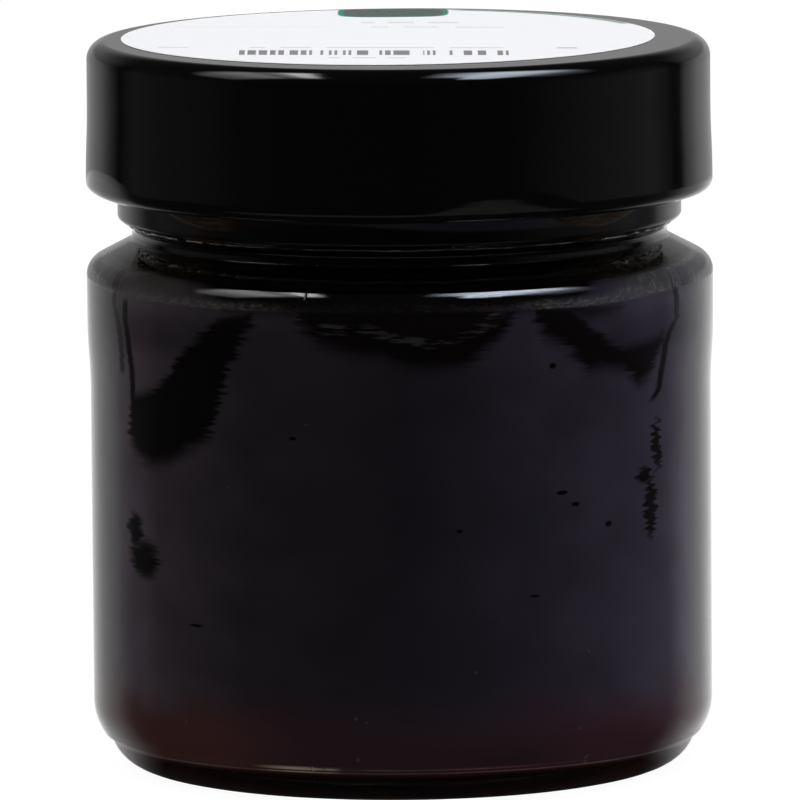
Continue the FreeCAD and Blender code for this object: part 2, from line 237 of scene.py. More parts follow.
heel_middle = SIDE - HEEL_ROUND
heel_low = HEEL_TOP - math.sqrt(HEEL_ROUND ** 2 - (HEEL_EDGE - heel_middle) ** 2)
heel_start = -math.degrees(math.acos((HEEL_EDGE - heel_middle) / HEEL_ROUND))
foot_top = heel_low - PARTING_STEP
print("parting line at %.2f and %.2f mm" % (foot_top, heel_low))

# %% [markdown]
# The foot's underside is one arc from the standing ring to the parting line. Its centre
# lies where two circles of its radius about both ends cross, on the inner side.

# %% The jar's outline
def arc_between(start, end, size, count=10):
    """The short arc of a given radius from one point to another, bulging to the right of
    the way from start to end: centre = middle + left normal * sqrt(size^2 - half^2)."""
    start, end = np.array(start, float), np.array(end, float)
    middle, way = (start + end) / 2, (end - start) / 2
    half = np.linalg.norm(way)
    left = np.array([-way[1], way[0]]) / half
    centre = middle + left * math.sqrt(size ** 2 - half ** 2)
    one = math.degrees(math.atan2(*(start - centre)[::-1]))
    two = math.degrees(math.atan2(*(end - centre)[::-1]))
    two = one + (two - one + 180) % 360 - 180
    return arc(centre, size, one, two, count)


dome = (PUSH_UP ** 2 + PUSH_UP_DROP ** 2) / (2 * PUSH_UP_DROP)
dome_end = 90 - math.degrees(math.asin(PUSH_UP / dome))
bottom = arc((0, PUSH_UP_TOP - dome), dome, 90, dome_end, 14)
foot = arc_between((RING_OUT, 0), (FOOT, foot_top), FOOT_ROUND)
heel = arc((heel_middle, HEEL_TOP), HEEL_ROUND, heel_start, 0, 14)
band = soft_step(SIDE, SHOULDER, BAND_LOW, BAND_TOP)
upper = rounded([
    (SHOULDER, BAND_TOP),
    (SHOULDER, SHOULDER_TOP, 2.1),
    (GROOVE, GROOVE_LOW, 0.6),
    (GROOVE, BEAD_LOW - 1.2, 0.6),
    (BEAD, BEAD_LOW, 0.45),
    (BEAD, BEAD_TOP),
])
finish = rounded([
    (FINISH, BEAD_TOP),
    (FINISH, RIM, RIM_ROUND),
    (BORE, RIM, RIM_ROUND),
    (BORE, BEAD_TOP),
])
outside = np.concatenate([bottom, [[RING_IN, 0]], foot, heel, band, upper, finish[:-1]])
print("the dome under the foot is part of a ball of %.0f mm radius" % dome)

# %% [markdown]
# ## The jar's inside
# The same shape set in by the glass: 2.4 mm at the side, 1.8 mm at the neck and a thick
# floor, which is a shallow dome that falls 1.2 mm from its middle to the wall. The honey
# follows this line too, so it is written once, with a reach that lets the honey run a hair
# into the glass. If it stopped at the wall, a film of air would show.

# %% The jar's inner line
FLOOR, FLOOR_DROP, FLOOR_ROUND = 4.6, 1.2, 5.5
SIDE_INSIDE = SIDE - WALL
drop = WALL / math.cos(LEVEL_TO_SLOPE)
INNER_SHOULDER = SHOULDER_TOP - drop + (SHOULDER - SIDE_INSIDE) * SLOPE
INNER_NECK = SHOULDER_TOP - drop + (SHOULDER - BORE) * SLOPE


def inner_line(top, reach=0.0):
    """From the middle of the floor out, up and in to the bore, and up to a given height.
    The floor is an arc of radius (w^2 + drop^2) / (2 drop), and the round inside the heel
    touches it and the wall: its middle lies one round in from the wall, and as far from
    the dome's middle as the two radii together."""
    floor = (SIDE_INSIDE ** 2 + FLOOR_DROP ** 2) / (2 * FLOOR_DROP)
    below = FLOOR - floor
    inward = SIDE_INSIDE - FLOOR_ROUND
    height = below + math.sqrt((floor + FLOOR_ROUND) ** 2 - inward ** 2)
    lean = math.degrees(math.asin(inward / (floor + FLOOR_ROUND)))
    ground = arc((0, below), floor - reach, 90, 90 - lean, 16)
    corner = arc((inward, height), FLOOR_ROUND + reach, -90 - lean, 0, 16)
    wall = rounded([
        (SIDE_INSIDE + reach, height),
        (SIDE_INSIDE + reach, INNER_SHOULDER + reach, 4.0),
        (BORE + reach, INNER_NECK + reach, 3.0),
        (BORE + reach, top),
    ], per_round=14)
    return np.concatenate([ground, corner[1:], wall[1:]])


inside = inner_line(RIM - RIM_ROUND)[::-1]
glass_line = eased(np.concatenate([outside, inside]), 0.9)
print("glass profile: %d points" % len(glass_line))

# %% [markdown]
# ## The threads
# A twist-off jar has no screw thread all the way round. It has four short ones, each a
# crescent that rises out of the wall, slopes gently and sinks back. Each is part of a ring
# whose middle is set off the jar's axis. A lug of the lid slides in under each. The glass
# has by far the longest profile, so it gets fewer columns than the other pieces.

# %% Threads
THREADS = np.radians([30, 120, 210, 300])
THREAD_HEIGHT, THREAD_SIZE = 68.334, 1.1
OFF_AXIS, THREAD_RING = 6.5, 25.1
RISE = math.sin(math.radians(3.5))
JAR_AROUND = 220


def with_threads(r, z, a):
    """The wall's radius, or the thread's where it is larger. At an angle t from its
    middle a thread's core lies at c cos t + sqrt(R^2 - (c sin t)^2) from the axis, where
    R is the thread's ring and c is how far it is off the axis. The thread is a tube about
    that core, which rises with its own way to the side."""
    on_wall = (r > FINISH - 1) & (z > BEAD_TOP) & (z < RIM)
    for middle in THREADS:
        t = (a - middle + np.pi) % (2 * np.pi) - np.pi
        to_side = OFF_AXIS * np.sin(t)
        core = OFF_AXIS * np.cos(t) + np.sqrt(THREAD_RING ** 2 - to_side ** 2)
        height = THREAD_HEIGHT + core * np.sin(t) * RISE
        tube = core + np.sqrt(np.clip(THREAD_SIZE ** 2 - (z - height) ** 2, 0, None))
        near = on_wall & (np.abs(z - height) < THREAD_SIZE) & (np.abs(t) < 1)
        r = np.where(near, np.maximum(r, tube), r)
    return r, z


jar = turned("jar", glass_line, with_threads, JAR_AROUND)

# %% [markdown]
# ## The honey
# A solid turned piece: the inner line of the glass, run 0.12 mm into the wall, and closed
# by its level surface, which climbs the glass a little where it wets it. The climb fades
# with the distance from the wall as exp(-distance / fade). A Boolean of the jar's inside
# would give the same solid, but with a ragged mesh that shades badly.

# %% Honey
REACH = 0.12
LEVEL, CLIMB, CLIMB_FADE = RIM - 6.5, 0.5, 0.9
fill = inner_line(LEVEL + CLIMB, REACH)
inward = np.linspace(BORE, 0, 16)
level = np.stack([inward, LEVEL + CLIMB * np.exp((inward - BORE) / CLIMB_FADE)], 1)
honey = turned("dark_honey", eased(np.concatenate([fill, level]), 0.9))

# %% [markdown]
# ## The lid
# One sheet of steel, pressed to a cup, rounded over at the top, spread a little towards
# its rolled edge. The roll is a ring of the same sheet turned inwards, and four lugs are
# pressed into it. Solidify would let the tight roll cross itself, so both sides of the
# sheet are drawn: out and down the outside, round the roll, and back up the inside.

# %% Lid
EDGE, SKIRT = 35.0, 34.8
LID_TOP, LID_ROUND, SHEET = 81.4, 2.0, 0.22
FLARE, ROLL, ROLL_LOW = 9.0, 1.15, 64.55
roll_middle = (EDGE - ROLL, ROLL_LOW + ROLL)
round_middle = (SKIRT - LID_ROUND, LID_TOP - LID_ROUND)

top = arc(round_middle, LID_ROUND, 90, 0, 22)
flare = soft_step(EDGE, SKIRT, roll_middle[1], roll_middle[1] + FLARE)[::-1]
roll = arc(roll_middle, ROLL, 0, -270, 34)
roll_back = arc(roll_middle, ROLL - SHEET, 90, 360, 26)
flare_back = flare[::-1] - [SHEET, 0]
top_back = arc(round_middle, LID_ROUND - SHEET, 0, 90, 12)
lid_line = np.concatenate([
    [[0, LID_TOP]], top, flare, roll[1:], roll_back, flare_back[1:], top_back,
    [[0, LID_TOP - SHEET]]])
lid_line = eased(lid_line, 1.1)[::-1]
print("lid profile: %d points" % len(lid_line))

# %% [markdown]
# The four lugs hold the lid under the threads. Each is a short stretch of the roll that is
# squeezed inwards, and the tool that does it leaves a shallow dent outside. Both are soft
# pushes of the same surface, so nothing has to be joined on.

# %% Lugs
LUGS = np.radians([18, 108, 198, 288])
LUG_END, LUG_FADE, LUG_REACH = 8.6, 2.2, 1.1
DENT, DENT_END, DENT_FADE = 0.3, 18, 2.2


def with_lugs(r, z, a):
    """The roll's inner half runs in by the lug's reach, up to the angle where the lug ends
    and with a fade before it. Outside, the press leaves a crescent: a dent that reaches
    3.1 mm up from the edge in its middle, and less by the square of the angle."""
    inner = np.clip((roll_middle[0] - r) / ROLL, 0, 1)
    inner = inner * (z < roll_middle[1] + ROLL + 0.01)
    outer = r > roll_middle[0] - 0.4
    for middle in LUGS:
        t = np.degrees(np.abs((a - middle + np.pi) % (2 * np.pi) - np.pi))
        share = np.clip((LUG_END - t) / LUG_FADE, 0, 1)
        share = share * share * (3 - 2 * share)
        bow = np.clip(1 - (t / DENT_END) ** 2, 0, 1)
        low = np.clip((ROLL_LOW + 0.7 + 2.4 * bow - z) / DENT_FADE, 0, 1)
        r = r - share * inner * LUG_REACH - bow * low * DENT * outer
    return r, z


lid = turned("black_lid", lid_line, with_lugs)

# %% [markdown]
# ## The seal and the label
# The seal is a ring of soft compound that lies on the glass rim inside the lid. The label
# is a disc of paper stuck a little off the middle. A flat disc would do from above, but
# the paper's own thickness gives it the thin shadow line and the bright cut edge.

# %% Seal and label
seal_line = np.concatenate([
    rounded([(27.45, 80.33), (27.45, 81.13)]),
    arc((32.8, 79.4), 1.73, 90, 64, 6),
    rounded([(33.55, 80.9), (33.55, 79.98, 0.1), (31.05, 79.98, 0.1), (31.05, 80.33)])])
seal = turned("seal_ring", seal_line[::-1], closed=True)

LABEL_RIGHT, LABEL_BACK = -1.15, 1.2
paper_line = rounded([(0, 81.405), (29.8, 81.405), (29.8, 81.5, 0.02), (0, 81.5)], 4)
label = turned("paper_label", eased(paper_line, 2.0))
label.data.transform(Matrix.Translation((LABEL_RIGHT * MM, LABEL_BACK * MM, 0)))

# %% [markdown]
# ## Writing shader maths
# A material is a sum of masks. One small class wraps a node's output, so that a mask can
# be written as an expression, and each operation puts in the Math node that does it.

# %% Shader maths
class Wire:
    """One output of a node. Working with wires adds the Math nodes that work it out."""

    def __init__(self, board, socket):
        self.board, self.socket = board, socket

    def work(self, operation, *values):
        sockets = dict(enumerate(values))
        return self.board.add("ShaderNodeMath", {"operation": operation}, sockets)

    def __add__(self, other): return self.work("ADD", self, other)
    def __radd__(self, other): return self.work("ADD", other, self)
    def __sub__(self, other): return self.work("SUBTRACT", self, other)
    def __rsub__(self, other): return self.work("SUBTRACT", other, self)
    def __mul__(self, other): return self.work("MULTIPLY", self, other)
    def __rmul__(self, other): return self.work("MULTIPLY", other, self)
    def __truediv__(self, other): return self.work("DIVIDE", self, other)
    def __pow__(self, other): return self.work("POWER", self, other)
    def size(self): return self.work("ABSOLUTE", self)
    def least(self, other): return self.work("MINIMUM", self, other)
    def most(self, other): return self.work("MAXIMUM", self, other)

    def step(self, low, high):
        """0 up to low, 1 from high on, and a smooth rise between. With high below low it is
        a fall: 1 up to high and 0 from low on."""
        if low > high:
            return 1 - self.step(high, low)
        settings = {"interpolation_type": "SMOOTHSTEP"}
        return self.board.add("ShaderNodeMapRange", settings, {0: self, 1: low, 2: high})


# %% [markdown]
# The board puts in the nodes and joins them up. Any node that isn't plain maths comes from
# its one method, which takes the node's type, its settings and what goes into its sockets.
# The rest are short names for what every finish below needs.

# %% A board of nodes
DEGREES = 57.2958  # in one radian


class Board:
    """A node tree that is written from empty."""

    def __init__(self, owner):
        owner.use_nodes = True
        self.name, self.tree = owner.name, owner.node_tree
        self.tree.nodes.clear()

    def add(self, kind, settings=None, sockets=None, out=0):
        """A node. Settings go in first, then the values or wires of its sockets."""
        node = self.tree.nodes.new(kind)
        for name, value in (settings or {}).items():
            if name != "stops":
                setattr(node, name, value)
                continue
            ramp = node.color_ramp.elements
            while len(ramp) < len(value):
                ramp.new(0.5)
            for stop, (place, grey) in zip(ramp, value):
                stop.position, stop.color = place, (grey, grey, grey, 1)
        for name, value in (sockets or {}).items():
            if isinstance(value, Wire):
                self.tree.links.new(value.socket, node.inputs[name])
            else:
                node.inputs[name].default_value = value
        return Wire(self, node.outputs[out]) if len(node.outputs) else node

    def mix(self, share, one, two):
        """A colour between two colours. The share is kept between 0 and 1."""
        sockets = {0: share, 6: one, 7: two}
        return self.add("ShaderNodeMix", {"data_type": "RGBA"}, sockets, 2)

    def mix_shaders(self, share, one, two):
        """One finish where the share is 0, the other where it is 1."""
        return self.add("ShaderNodeMixShader", sockets={0: share, 1: one, 2: two})

    def table(self, where, first, last, rows):
        """A number read off a table of (place, number), straight between its rows."""
        stops = [((place - first) / (last - first), number) for place, number in rows]
        share = (where - first) / (last - first)
        return self.add("ShaderNodeValToRGB", {"stops": stops}, {0: share})

    def around(self, x, y):
        """Degrees round the upright axis, 0 in front and positive to the right."""
        return x.work("ARCTAN2", x, y * -1) * DEGREES

    def place(self):
        """Object coordinates as three wires, in millimetres."""
        metres = self.parts(self.add("ShaderNodeTexCoord", out=3))
        return [length * (1 / MM) for length in metres]

    def parts(self, vector):
        """The x, y and z of a vector as three wires."""
        return [self.add("ShaderNodeSeparateXYZ", sockets={0: vector}, out=i)
                for i in range(3)]

    def noise(self, x, y, z, detail=2.0, roughness=0.5):
        """Noise over three wires. Where one is scaled down, the noise is longer there."""
        where = self.add("ShaderNodeCombineXYZ", sockets={0: x, 1: y, 2: z})
        sockets = {"Vector": where, "Scale": 1.0, "Detail": detail, "Roughness": roughness}
        return self.add("ShaderNodeTexNoise", {"noise_dimensions": "3D"}, sockets)

    def bump(self, relief):
        """A bump whose height is given in millimetres."""
        sockets = {"Strength": 1.0, "Distance": MM, "Height": relief}
        return self.add("ShaderNodeBump", sockets=sockets)

    def ray(self, kind):
        """1 for light rays of a kind, 0 for the rest."""
        return self.add("ShaderNodeLightPath", out=kind)

    def surface(self, **sockets):
        """The last two nodes of a finish: the Principled shader and the output. Underscores
        stand for the spaces in the names of the sockets."""
        sockets = {name.replace("_", " "): value for name, value in sockets.items()}
        shader = self.add("ShaderNodeBsdfPrincipled", sockets=sockets)
        self.add("ShaderNodeOutputMaterial", sockets={"Surface": shader})
        print("%s: %d nodes" % (self.name, len(self.tree.nodes)))


def finish_on(piece, name, node):
    """A new material on a piece that stands for a node of the model and rides with it."""
    material = bpy.data.materials.new(name)
    piece.data.materials.append(material)
    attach(piece, "root")
    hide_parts(node)
    return Board(material)


# %% [markdown]
# ## Glass
# Clear, and smooth on both sides. Moulded glass is never quite even: it is a little wavy,
# and a fine seam stands up where the two halves of the mould met, once in front and once
# behind. Both are finer than the mesh, so they are a bump, worked out in millimetres.

# %% Glass
SEAM, SEAM_HALF = -17.4, 0.3
glass = finish_on(jar, "clear glass", "jar_glass")
x, y, z = glass.place()
turn_by = glass.around(x, y)
seam_in_front = (1 - (turn_by - SEAM).size() / SEAM_HALF).most(0)
seam_behind = (1 - (turn_by - SEAM - 180).size() / SEAM_HALF).most(0)
wavy = glass.noise(x * 0.1, y * 0.1, z * 0.04, 1.0)
relief = (seam_in_front + seam_behind) * 0.05 + wavy * 0.07
glass.surface(Base_Color=(0.97, 0.98, 0.975, 1), Roughness=0.0, IOR=1.5,
              Transmission_Weight=1.0, Normal=glass.bump(relief))

# %% [markdown]
# ## Honey: the haze and the bare streaks
# Honey this dark swallows nearly all the light. What comes back is a violet grey haze, the
# skin of fine crystals that it leaves on the glass. Where the honey ran back down when the
# jar was tipped, the skin is gone and bare black shows, in ragged streaks that hang from
# the shoulder. A streak is a table: for each angle round the jar its lowest and highest
# height in millimetres. A ramp only holds numbers from 0 to 1, so the heights go in as
# parts of 100 mm. Noise that is stretched sideways combs the edges. Streaks could be
# painted by hand too, but a table keeps them sharp, and each can be moved by a number.

# %% Bare streaks
skin = finish_on(honey, "dark honey", "honey")
x, y, z = skin.place()
angle = skin.around(x, y)
comb = skin.noise(x * 0.16, y * 0.16, z * 2.2, 4.0, 0.6)
cloud = skin.noise(x * 0.11, y * 0.11, z * 0.13)
ragged = angle + (comb - 0.5) * 8
height = z + (cloud - 0.5) * 1.6


def bare(rows):
    """1 between the two heights that the rows of (angle, lowest, highest) give. The lower
    edge is softer than the upper one, and both ends fade out."""
    first, last = rows[0][0], rows[-1][0]
    low = skin.table(ragged, first, last, [(a, b / 100) for a, b, c in rows]) * 100
    high = skin.table(ragged, first, last, [(a, c / 100) for a, b, c in rows]) * 100
    ends = (ragged - first).step(0, 1.5) * (last - ragged).step(0, 1.5)
    return (height - low).step(-1.3, 1.5) * (high - height).step(-0.8, 0.9) * ends


def patch(a, b, wide, high, soft):
    """1 inside an oval about the angle a and the height b, fading at its rim."""
    across, up = (ragged - a) / wide, (height - b) / high
    return (across * across + up * up).step(1.0 + soft / 2, 1.0 - soft / 2)


left_streak = bare([
    (-64, 39.0, 41.0), (-61, 37.6, 44.0), (-58, 36.4, 44.3), (-55, 35.8, 44.8),
    (-50, 36.6, 46.4), (-46, 38.0, 49.4), (-42, 39.2, 51.0), (-39, 40.4, 52.5),
    (-37, 43.5, 53.4), (-34, 48.2, 53.9), (-31, 51.3, 54.2), (-28, 53.8, 54.6)])
middle_streak = bare([
    (-21, 53.6, 54.6), (-18, 52.3, 55.0), (-16, 51.2, 55.2), (-9, 50.0, 55.4),
    (-3, 49.8, 55.6), (1, 48.7, 55.6), (6, 48.2, 55.6), (12, 48.4, 55.4),
    (16, 50.1, 55.2), (19, 51.5, 55.0), (23, 53.9, 54.6)])
right_streak = bare([
    (25, 54.0, 55.2), (29, 51.2, 55.0), (33, 50.4, 54.6), (35, 49.0, 54.2),
    (38, 47.0, 53.0), (42, 47.2, 50.9), (47, 46.6, 49.5), (51, 44.6, 49.8),
    (55, 46.0, 49.9), (58, 48.8, 50.3), (60, 49.3, 50.2)])
back_streak = bare([
    (96, 53.8, 54.6), (108, 50.5, 55.0), (124, 47.0, 55.2), (141, 45.6, 54.2),
    (152, 49.5, 54.8), (166, 51.5, 55.0), (176, 54.0, 54.6)])
under_rim = bare([(-37, 54.1, 54.9), (-30, 53.8, 55.2), (-15, 54.0, 55.4), (20, 54.0, 55.4),
                  (38, 53.2, 54.8), (48, 53.8, 54.4)])
streaks = left_streak.most(middle_streak).most(right_streak).most(back_streak)
streaks = streaks.most(under_rim)

# %% [markdown]
# Smaller bare patches lie lower down, where drops ran, and thin bare lines run down from
# the shoulder at both sides. The patches are ovals on the same ragged coordinates; a line
# is a table the other way round, of the angle for each height.

# %% Bare patches and lines
for a, b, wide, high, soft in [
        (-58, 25.6, 4.5, 2.2, 1.4), (-61, 28.6, 2.5, 2.0, 1.4), (55, 31.0, 1.8, 3.4, 1.2),
        (57, 38.0, 1.4, 3.0, 1.2), (53, 34.6, 2.0, 0.9, 1.2), (-118, 33.0, 3.0, 4.0, 1.2),
        (148, 37.5, 4.0, 1.6, 1.2)]:
    streaks = streaks.most(patch(a, b, wide, high, soft))


def bare_line(rows):
    """1 on a thin bare line; the rows of (height, angle) say where it runs. The angles go
    into the ramp as parts of 200 degrees, from -100 to 100."""
    low, high = rows[0][0], rows[-1][0]
    line = skin.table(z, low, high, [(a, (b + 100) / 200) for a, b in rows]) * 200 - 100
    ends = (z - low).step(0, 1) * (high - z).step(0, 1)
    return (1 - (angle - line + (comb - 0.5) * 1.2).size() / 1.5).step(0, 0.7) * ends


for rows in [
        [(45.5, -65.4), (48.7, -65.4), (50.5, -66.2), (52.3, -67.5), (53.6, -68.7),
         (56, -68.8)],
        [(38.5, -61.3), (47.2, -61.6), (48.9, -62.3), (50.6, -63.0), (51.5, -63.7),
         (54.6, -63.8)],
        [(42.5, 54.6), (44.0, 57.6), (49.0, 59.9), (50.2, 61.3), (51.6, 64.2), (56, 64.4)]]:
    streaks = streaks.most(bare_line(rows))
print("nodes so far:", len(skin.tree.nodes))

# %% [markdown]
# A few dark flecks of wax, no more than a millimetre or two long, lie on the skin, and a
# few bright crystals no larger than a grain of sand. Both are small ovals, and their
# edges are plain, so they stand on the even angle and height.

# %% Flecks and crystals
MM_PER_DEGREE = 0.56
flecks = 0
for a, b, wide, high in [(30, 48.2, .7, .3), (-21, 40.6, .7, .2), (11, 30.4, .6, .2),
                         (26, 22.8, 1.0, .15), (43, 30.0, .8, .3), (32, 34.0, 1.2, .25),
                         (35, 32.6, .9, .25), (-43, 19.0, 1.6, .15), (96, 31.0, .8, .2)]:
    across, up = (angle - a) / wide, (z - b) / high
    flecks = (across * across + up * up).step(1.6, 0.6) + flecks
crystals = 0
for a, b, size in [(-53, 13.9, .2), (14, 14.7, .2), (38, 16.1, .2), (-35, 34.8, .18),
                   (-18, 42.2, .16), (-46, 8.1, .22), (-9, 9.7, .22), (-7, 9.3, .16),
                   (-9, 5.4, .24), (36, 7.6, .2), (39.5, 4.9, .3), (150, 12.0, .2)]:
    across, up = (angle - a) * MM_PER_DEGREE, z - b
    crystals = (across * across + up * up).step(size * size, size * size * 0.2) + crystals

# %% [markdown]
# ## Honey: the colour of the haze
# The finish is painted in layers, each over the last, as a painter would. The first is the
# haze. Its hue goes from a warm violet on the left to a cool one on the right. A table says
# how pale it is at each angle, and this is painted light: the haze is paler towards both
# sides than in front, where the light falls on it. Cloudy noise varies that tone at random,
# and above about 49 mm at the sides it is darker.

# %% Haze
aside = angle.size()
hue = skin.mix(angle.step(-12, 30), (1.0, 0.80, 0.98, 1), (0.90, 0.72, 1.0, 1))
# painted light: the haze's paleness at each angle stands for how the light falls on it
haze_tone_and_light = skin.table(angle, -180, 180, [
    (-180, .06), (-90, .07), (-78, .09), (-70, .18), (-64, .28), (-58, .23), (-53, .15),
    (-42, .11), (-30, .072), (-20, .061), (0, .047), (10, .056), (20, .074), (31, .086),
    (42, .095), (53, .135), (60, .155), (64, .19), (70, .15), (78, .08), (90, .07),
    (180, .06)])
haze_tone_and_light = haze_tone_and_light * (0.88 + cloud.step(0.3, 0.7) * 0.24)
haze_tone_and_light = haze_tone_and_light * (1 - z.step(47.5, 50.5) * aside.step(28, 40) * 0.38)
haze = skin.mix(haze_tone_and_light, (0, 0, 0, 1), hue)
colour = skin.mix(streaks * 0.97, haze, (0.005, 0.002, 0.002, 1))

# %% [markdown]
# ## Honey: granules
# Under the shoulder lies a rim of coarse granules, grey to olive, and a ragged trail of
# them hangs in the middle streak. They lie behind glass, so colour alone shows them. Two
# kinds of noise make them: a fine one for the grains, and one that is stretched sideways
# for the wisps that they lie in.

# %% Granules
grit = skin.noise(x * 1.3, y * 1.3, z * 4.5, 4.0, 0.75)
grains = grit.step(0.42, 0.72)
wisps = skin.noise(x * 0.3, y * 0.3, z * 2.6, 4.0, 0.65)
rim_line = skin.table(angle, -75, 75, [
    (-75, .549), (-56, .5475), (-42, .5475), (-20, .549), (0, .550), (20, .549),
    (42, .5475), (56, .551), (64, .552), (75, .552)]) * 100
rim_band = (1 - (z - rim_line).size() / 0.5).step(0, 0.7)
rim_band = rim_band * (0.12 + 0.88 * aside.step(20, 34))
trail_line = skin.table(ragged, -15, 19, [
    (-15, .528), (-6, .529), (0, .517), (6, .511), (13, .524), (19, .54)]) * 100
trail = (1 - (height - trail_line).size() / 0.8).step(0, 0.6) * wisps.step(0.46, 0.60)
trail = trail * (angle + 17).step(0, 3) * (21 - angle).step(0, 3)
flank = aside.step(38, 52) * z.step(55.2, 56.0) * z.step(60.6, 59.0)
colour = skin.mix(trail, colour, (0.070, 0.068, 0.062, 1))

# %% [markdown]
# ## Honey: the foot
# Near the floor the layer is thin, and the light that comes through it is painted over the
# honey's red brown: orange to the left, purple in the middle and cherry red to the right.
# Right over the floor that painted light comes through in a few lines: cherry red on the
# right, a pale edge all along, and a stretch of gold.

# %% Foot
purple, orange = (0.085, 0.044, 0.056, 1), (0.17, 0.062, 0.060, 1)
cherry = (0.13, 0.050, 0.070, 1)
# painted light: light through the thin honey at the foot, over its red brown
foot_painted_light = skin.mix(angle.step(-15, -45), purple, orange)
foot_painted_light = skin.mix(angle.step(15, 50), foot_painted_light, cherry)
colour = skin.mix((z + (cloud - 0.5) * 5).step(13.0, 6.5), colour, foot_painted_light)


def line_at(level, half):
    """1 along a level line, falling to 0 at half its width on either side."""
    return (1 - (z - level).size() / half).step(0, 0.8)


cherry_line = line_at(4.4, 0.3) * angle.step(2, 14) * angle.step(52, 44)
colour = skin.mix(cherry_line, colour, (0.28, 0.08, 0.11, 1))
colour = skin.mix(z.step(4.25, 3.95), colour, (0.09, 0.02, 0.012, 1))
edge = line_at(4.42, 0.17) * aside.step(80, 70) * (0.45 + comb.step(0.4, 0.6) * 0.55)
colour = skin.mix(edge, colour, (0.36, 0.30, 0.29, 1))
gold = line_at(4.5, 0.28) * angle.step(-33, -24) * angle.step(-12, -16)
colour = skin.mix(gold * comb.step(0.36, 0.5), colour, (0.95, 0.82, 0.65, 1))

# %% [markdown]
# ## Honey: the neck
# In the groove of the neck the honey is black, with an olive crust of granules at both
# sides. Behind the bead it shows the haze again, more violet and painted paler, which is
# painted light. It is lit in a painted band of light that lies higher on the left than on
# the right, with painted shade under that band.

# %% Neck
left_ledge, right_ledge = (0.10, 0.088, 0.085, 1), (0.06, 0.052, 0.054, 1)
ledge = z.step(54.9, 55.3) * aside.step(42, 54) * aside.step(130, 90)
colour = skin.mix(ledge, colour, skin.mix(angle.step(-10, 10), left_ledge, right_ledge))
neck_line = skin.table(aside, 0, 180, [
    (0, .549), (34, .549), (42, .555), (56, .557), (64, .559), (180, .559)]) * 100
colour = skin.mix((z - neck_line).step(-0.3, 0.3), colour, (0.004, 0.003, 0.003, 1))
colour = skin.mix(flank * grains * 0.8, colour, (0.10, 0.062, 0.028, 1))
colour = skin.mix(rim_band * (0.25 + grains), colour, (0.20, 0.19, 0.175, 1))
# painted light: paler violet behind the bead, lit in a band, with painted shade under it
violet = skin.mix(angle.step(-5, 10), (0.16, 0.15, 0.17, 1), (0.14, 0.12, 0.18, 1))
lit = (z - 63.9 + angle.step(-20, 20)).step(-0.2, 0.3)
lit = lit * (1 - angle.step(-5, 5) * z.step(63.9, 64.3)) * aside.step(60, 40)
lit = lit.most(aside.step(40, 55) * 0.6)
violet = skin.mix(lit, (0.02, 0.016, 0.02, 1), violet)
colour = skin.mix(z.step(61.2, 61.9), colour, violet)

# %% [markdown]
# Two amber eyes show behind the bead, where light comes in past the lid and goes through a
# thin layer of honey. A true liquid behind the glass could show this, but it is slow to
# render and hard to steer, so they are painted light. Each eye is what lies over a bowed
# line. A pale lash, a painted highlight, lines that bow at its outer end. A streaky amber
# tail along the top of the left eye's right half is painted light too.

# %% Amber eyes
amber = skin.mix(wisps.step(0.4, 0.6), (0.11, 0.045, 0.010, 1), (0.36, 0.20, 0.055, 1))
amber = skin.mix(aside.step(36, 46), (0.05, 0.02, 0.006, 1), amber)
for middle, wide in ((-43, 16.5), (47.5, 13.5)):
    part = (angle - middle) / wide
    over_lid = z - 62.4 - part * part * 1.4
    eye_of = (1 - part.size()).step(0, 0.15) * over_lid.step(0, 0.25)
    colour = skin.mix(eye_of, colour, amber)
    # painted highlight: the pale lash along each eye's bow
    lash_highlight = eye_of * over_lid.step(0.45, 0.2) * (aside - 44).step(0, 6)
    colour = skin.mix(lash_highlight, colour, (0.45, 0.40, 0.36, 1))
tail = angle.step(-38, -34) * angle.step(-18, -24) * z.step(64.1, 64.3)
colour = skin.mix(tail * wisps.step(0.42, 0.55), colour, (0.22, 0.12, 0.06, 1))

# %% [markdown]
# Last of all come the flecks and the crystals. The surface itself has no gloss: what shines
# is the glass over it, and honey that touches glass has no gloss of its own.

# %% Honey finish
colour = skin.mix(flecks, colour, (0.008, 0.004, 0.004, 1))
colour = skin.mix(crystals, colour, (0.15, 0.14, 0.14, 1))
skin.surface(Base_Color=colour, Roughness=0.6, IOR=1.5, Specular_IOR_Level=0.0)

# %% [markdown]
# ## Lid and seal finishes
# Black lacquer stoved on steel is smooth, but with a faint orange peel, and handling has
# dulled it in places. The sealing compound is a soft cream plastic without any gloss.

# %% Lid finish
lacquer = finish_on(lid, "black lacquer", "lid")
x, y, z = lacquer.place()
peel = lacquer.noise(x * 1.6, y * 1.6, z * 1.6)
scuff = lacquer.noise(x * 0.2, y * 0.2, z * 0.5, 3.0).step(0.35, 0.75)
lacquer.surface(Base_Color=(0.0012, 0.0011, 0.0013, 1), Roughness=0.045 + scuff * 0.03,
                IOR=1.42, Normal=lacquer.bump(peel * 0.0015))

# %% Seal finish
compound = finish_on(seal, "sealing compound", "gasket")
x, y, z = compound.place()
grain = compound.noise(x * 2, y * 2, z * 2)
cream = compound.mix(grain, (0.70, 0.68, 0.62, 1), (0.76, 0.74, 0.68, 1))
compound.surface(Base_Color=cream, Roughness=0.7)

# %% [markdown]
# ## The label's print
# A plain sales label, with nothing to read on it: a dark green tab at the far edge, a thin
# green line that follows the rim, pale grey rules and a row of upright bars. The rows of
# print lie a few degrees askew, because the disc was stuck on by hand. So the print has
# its own coordinates: u to the right and v to the back, from the disc's middle. An image
# would blur from close by; print that is worked out stays sharp.

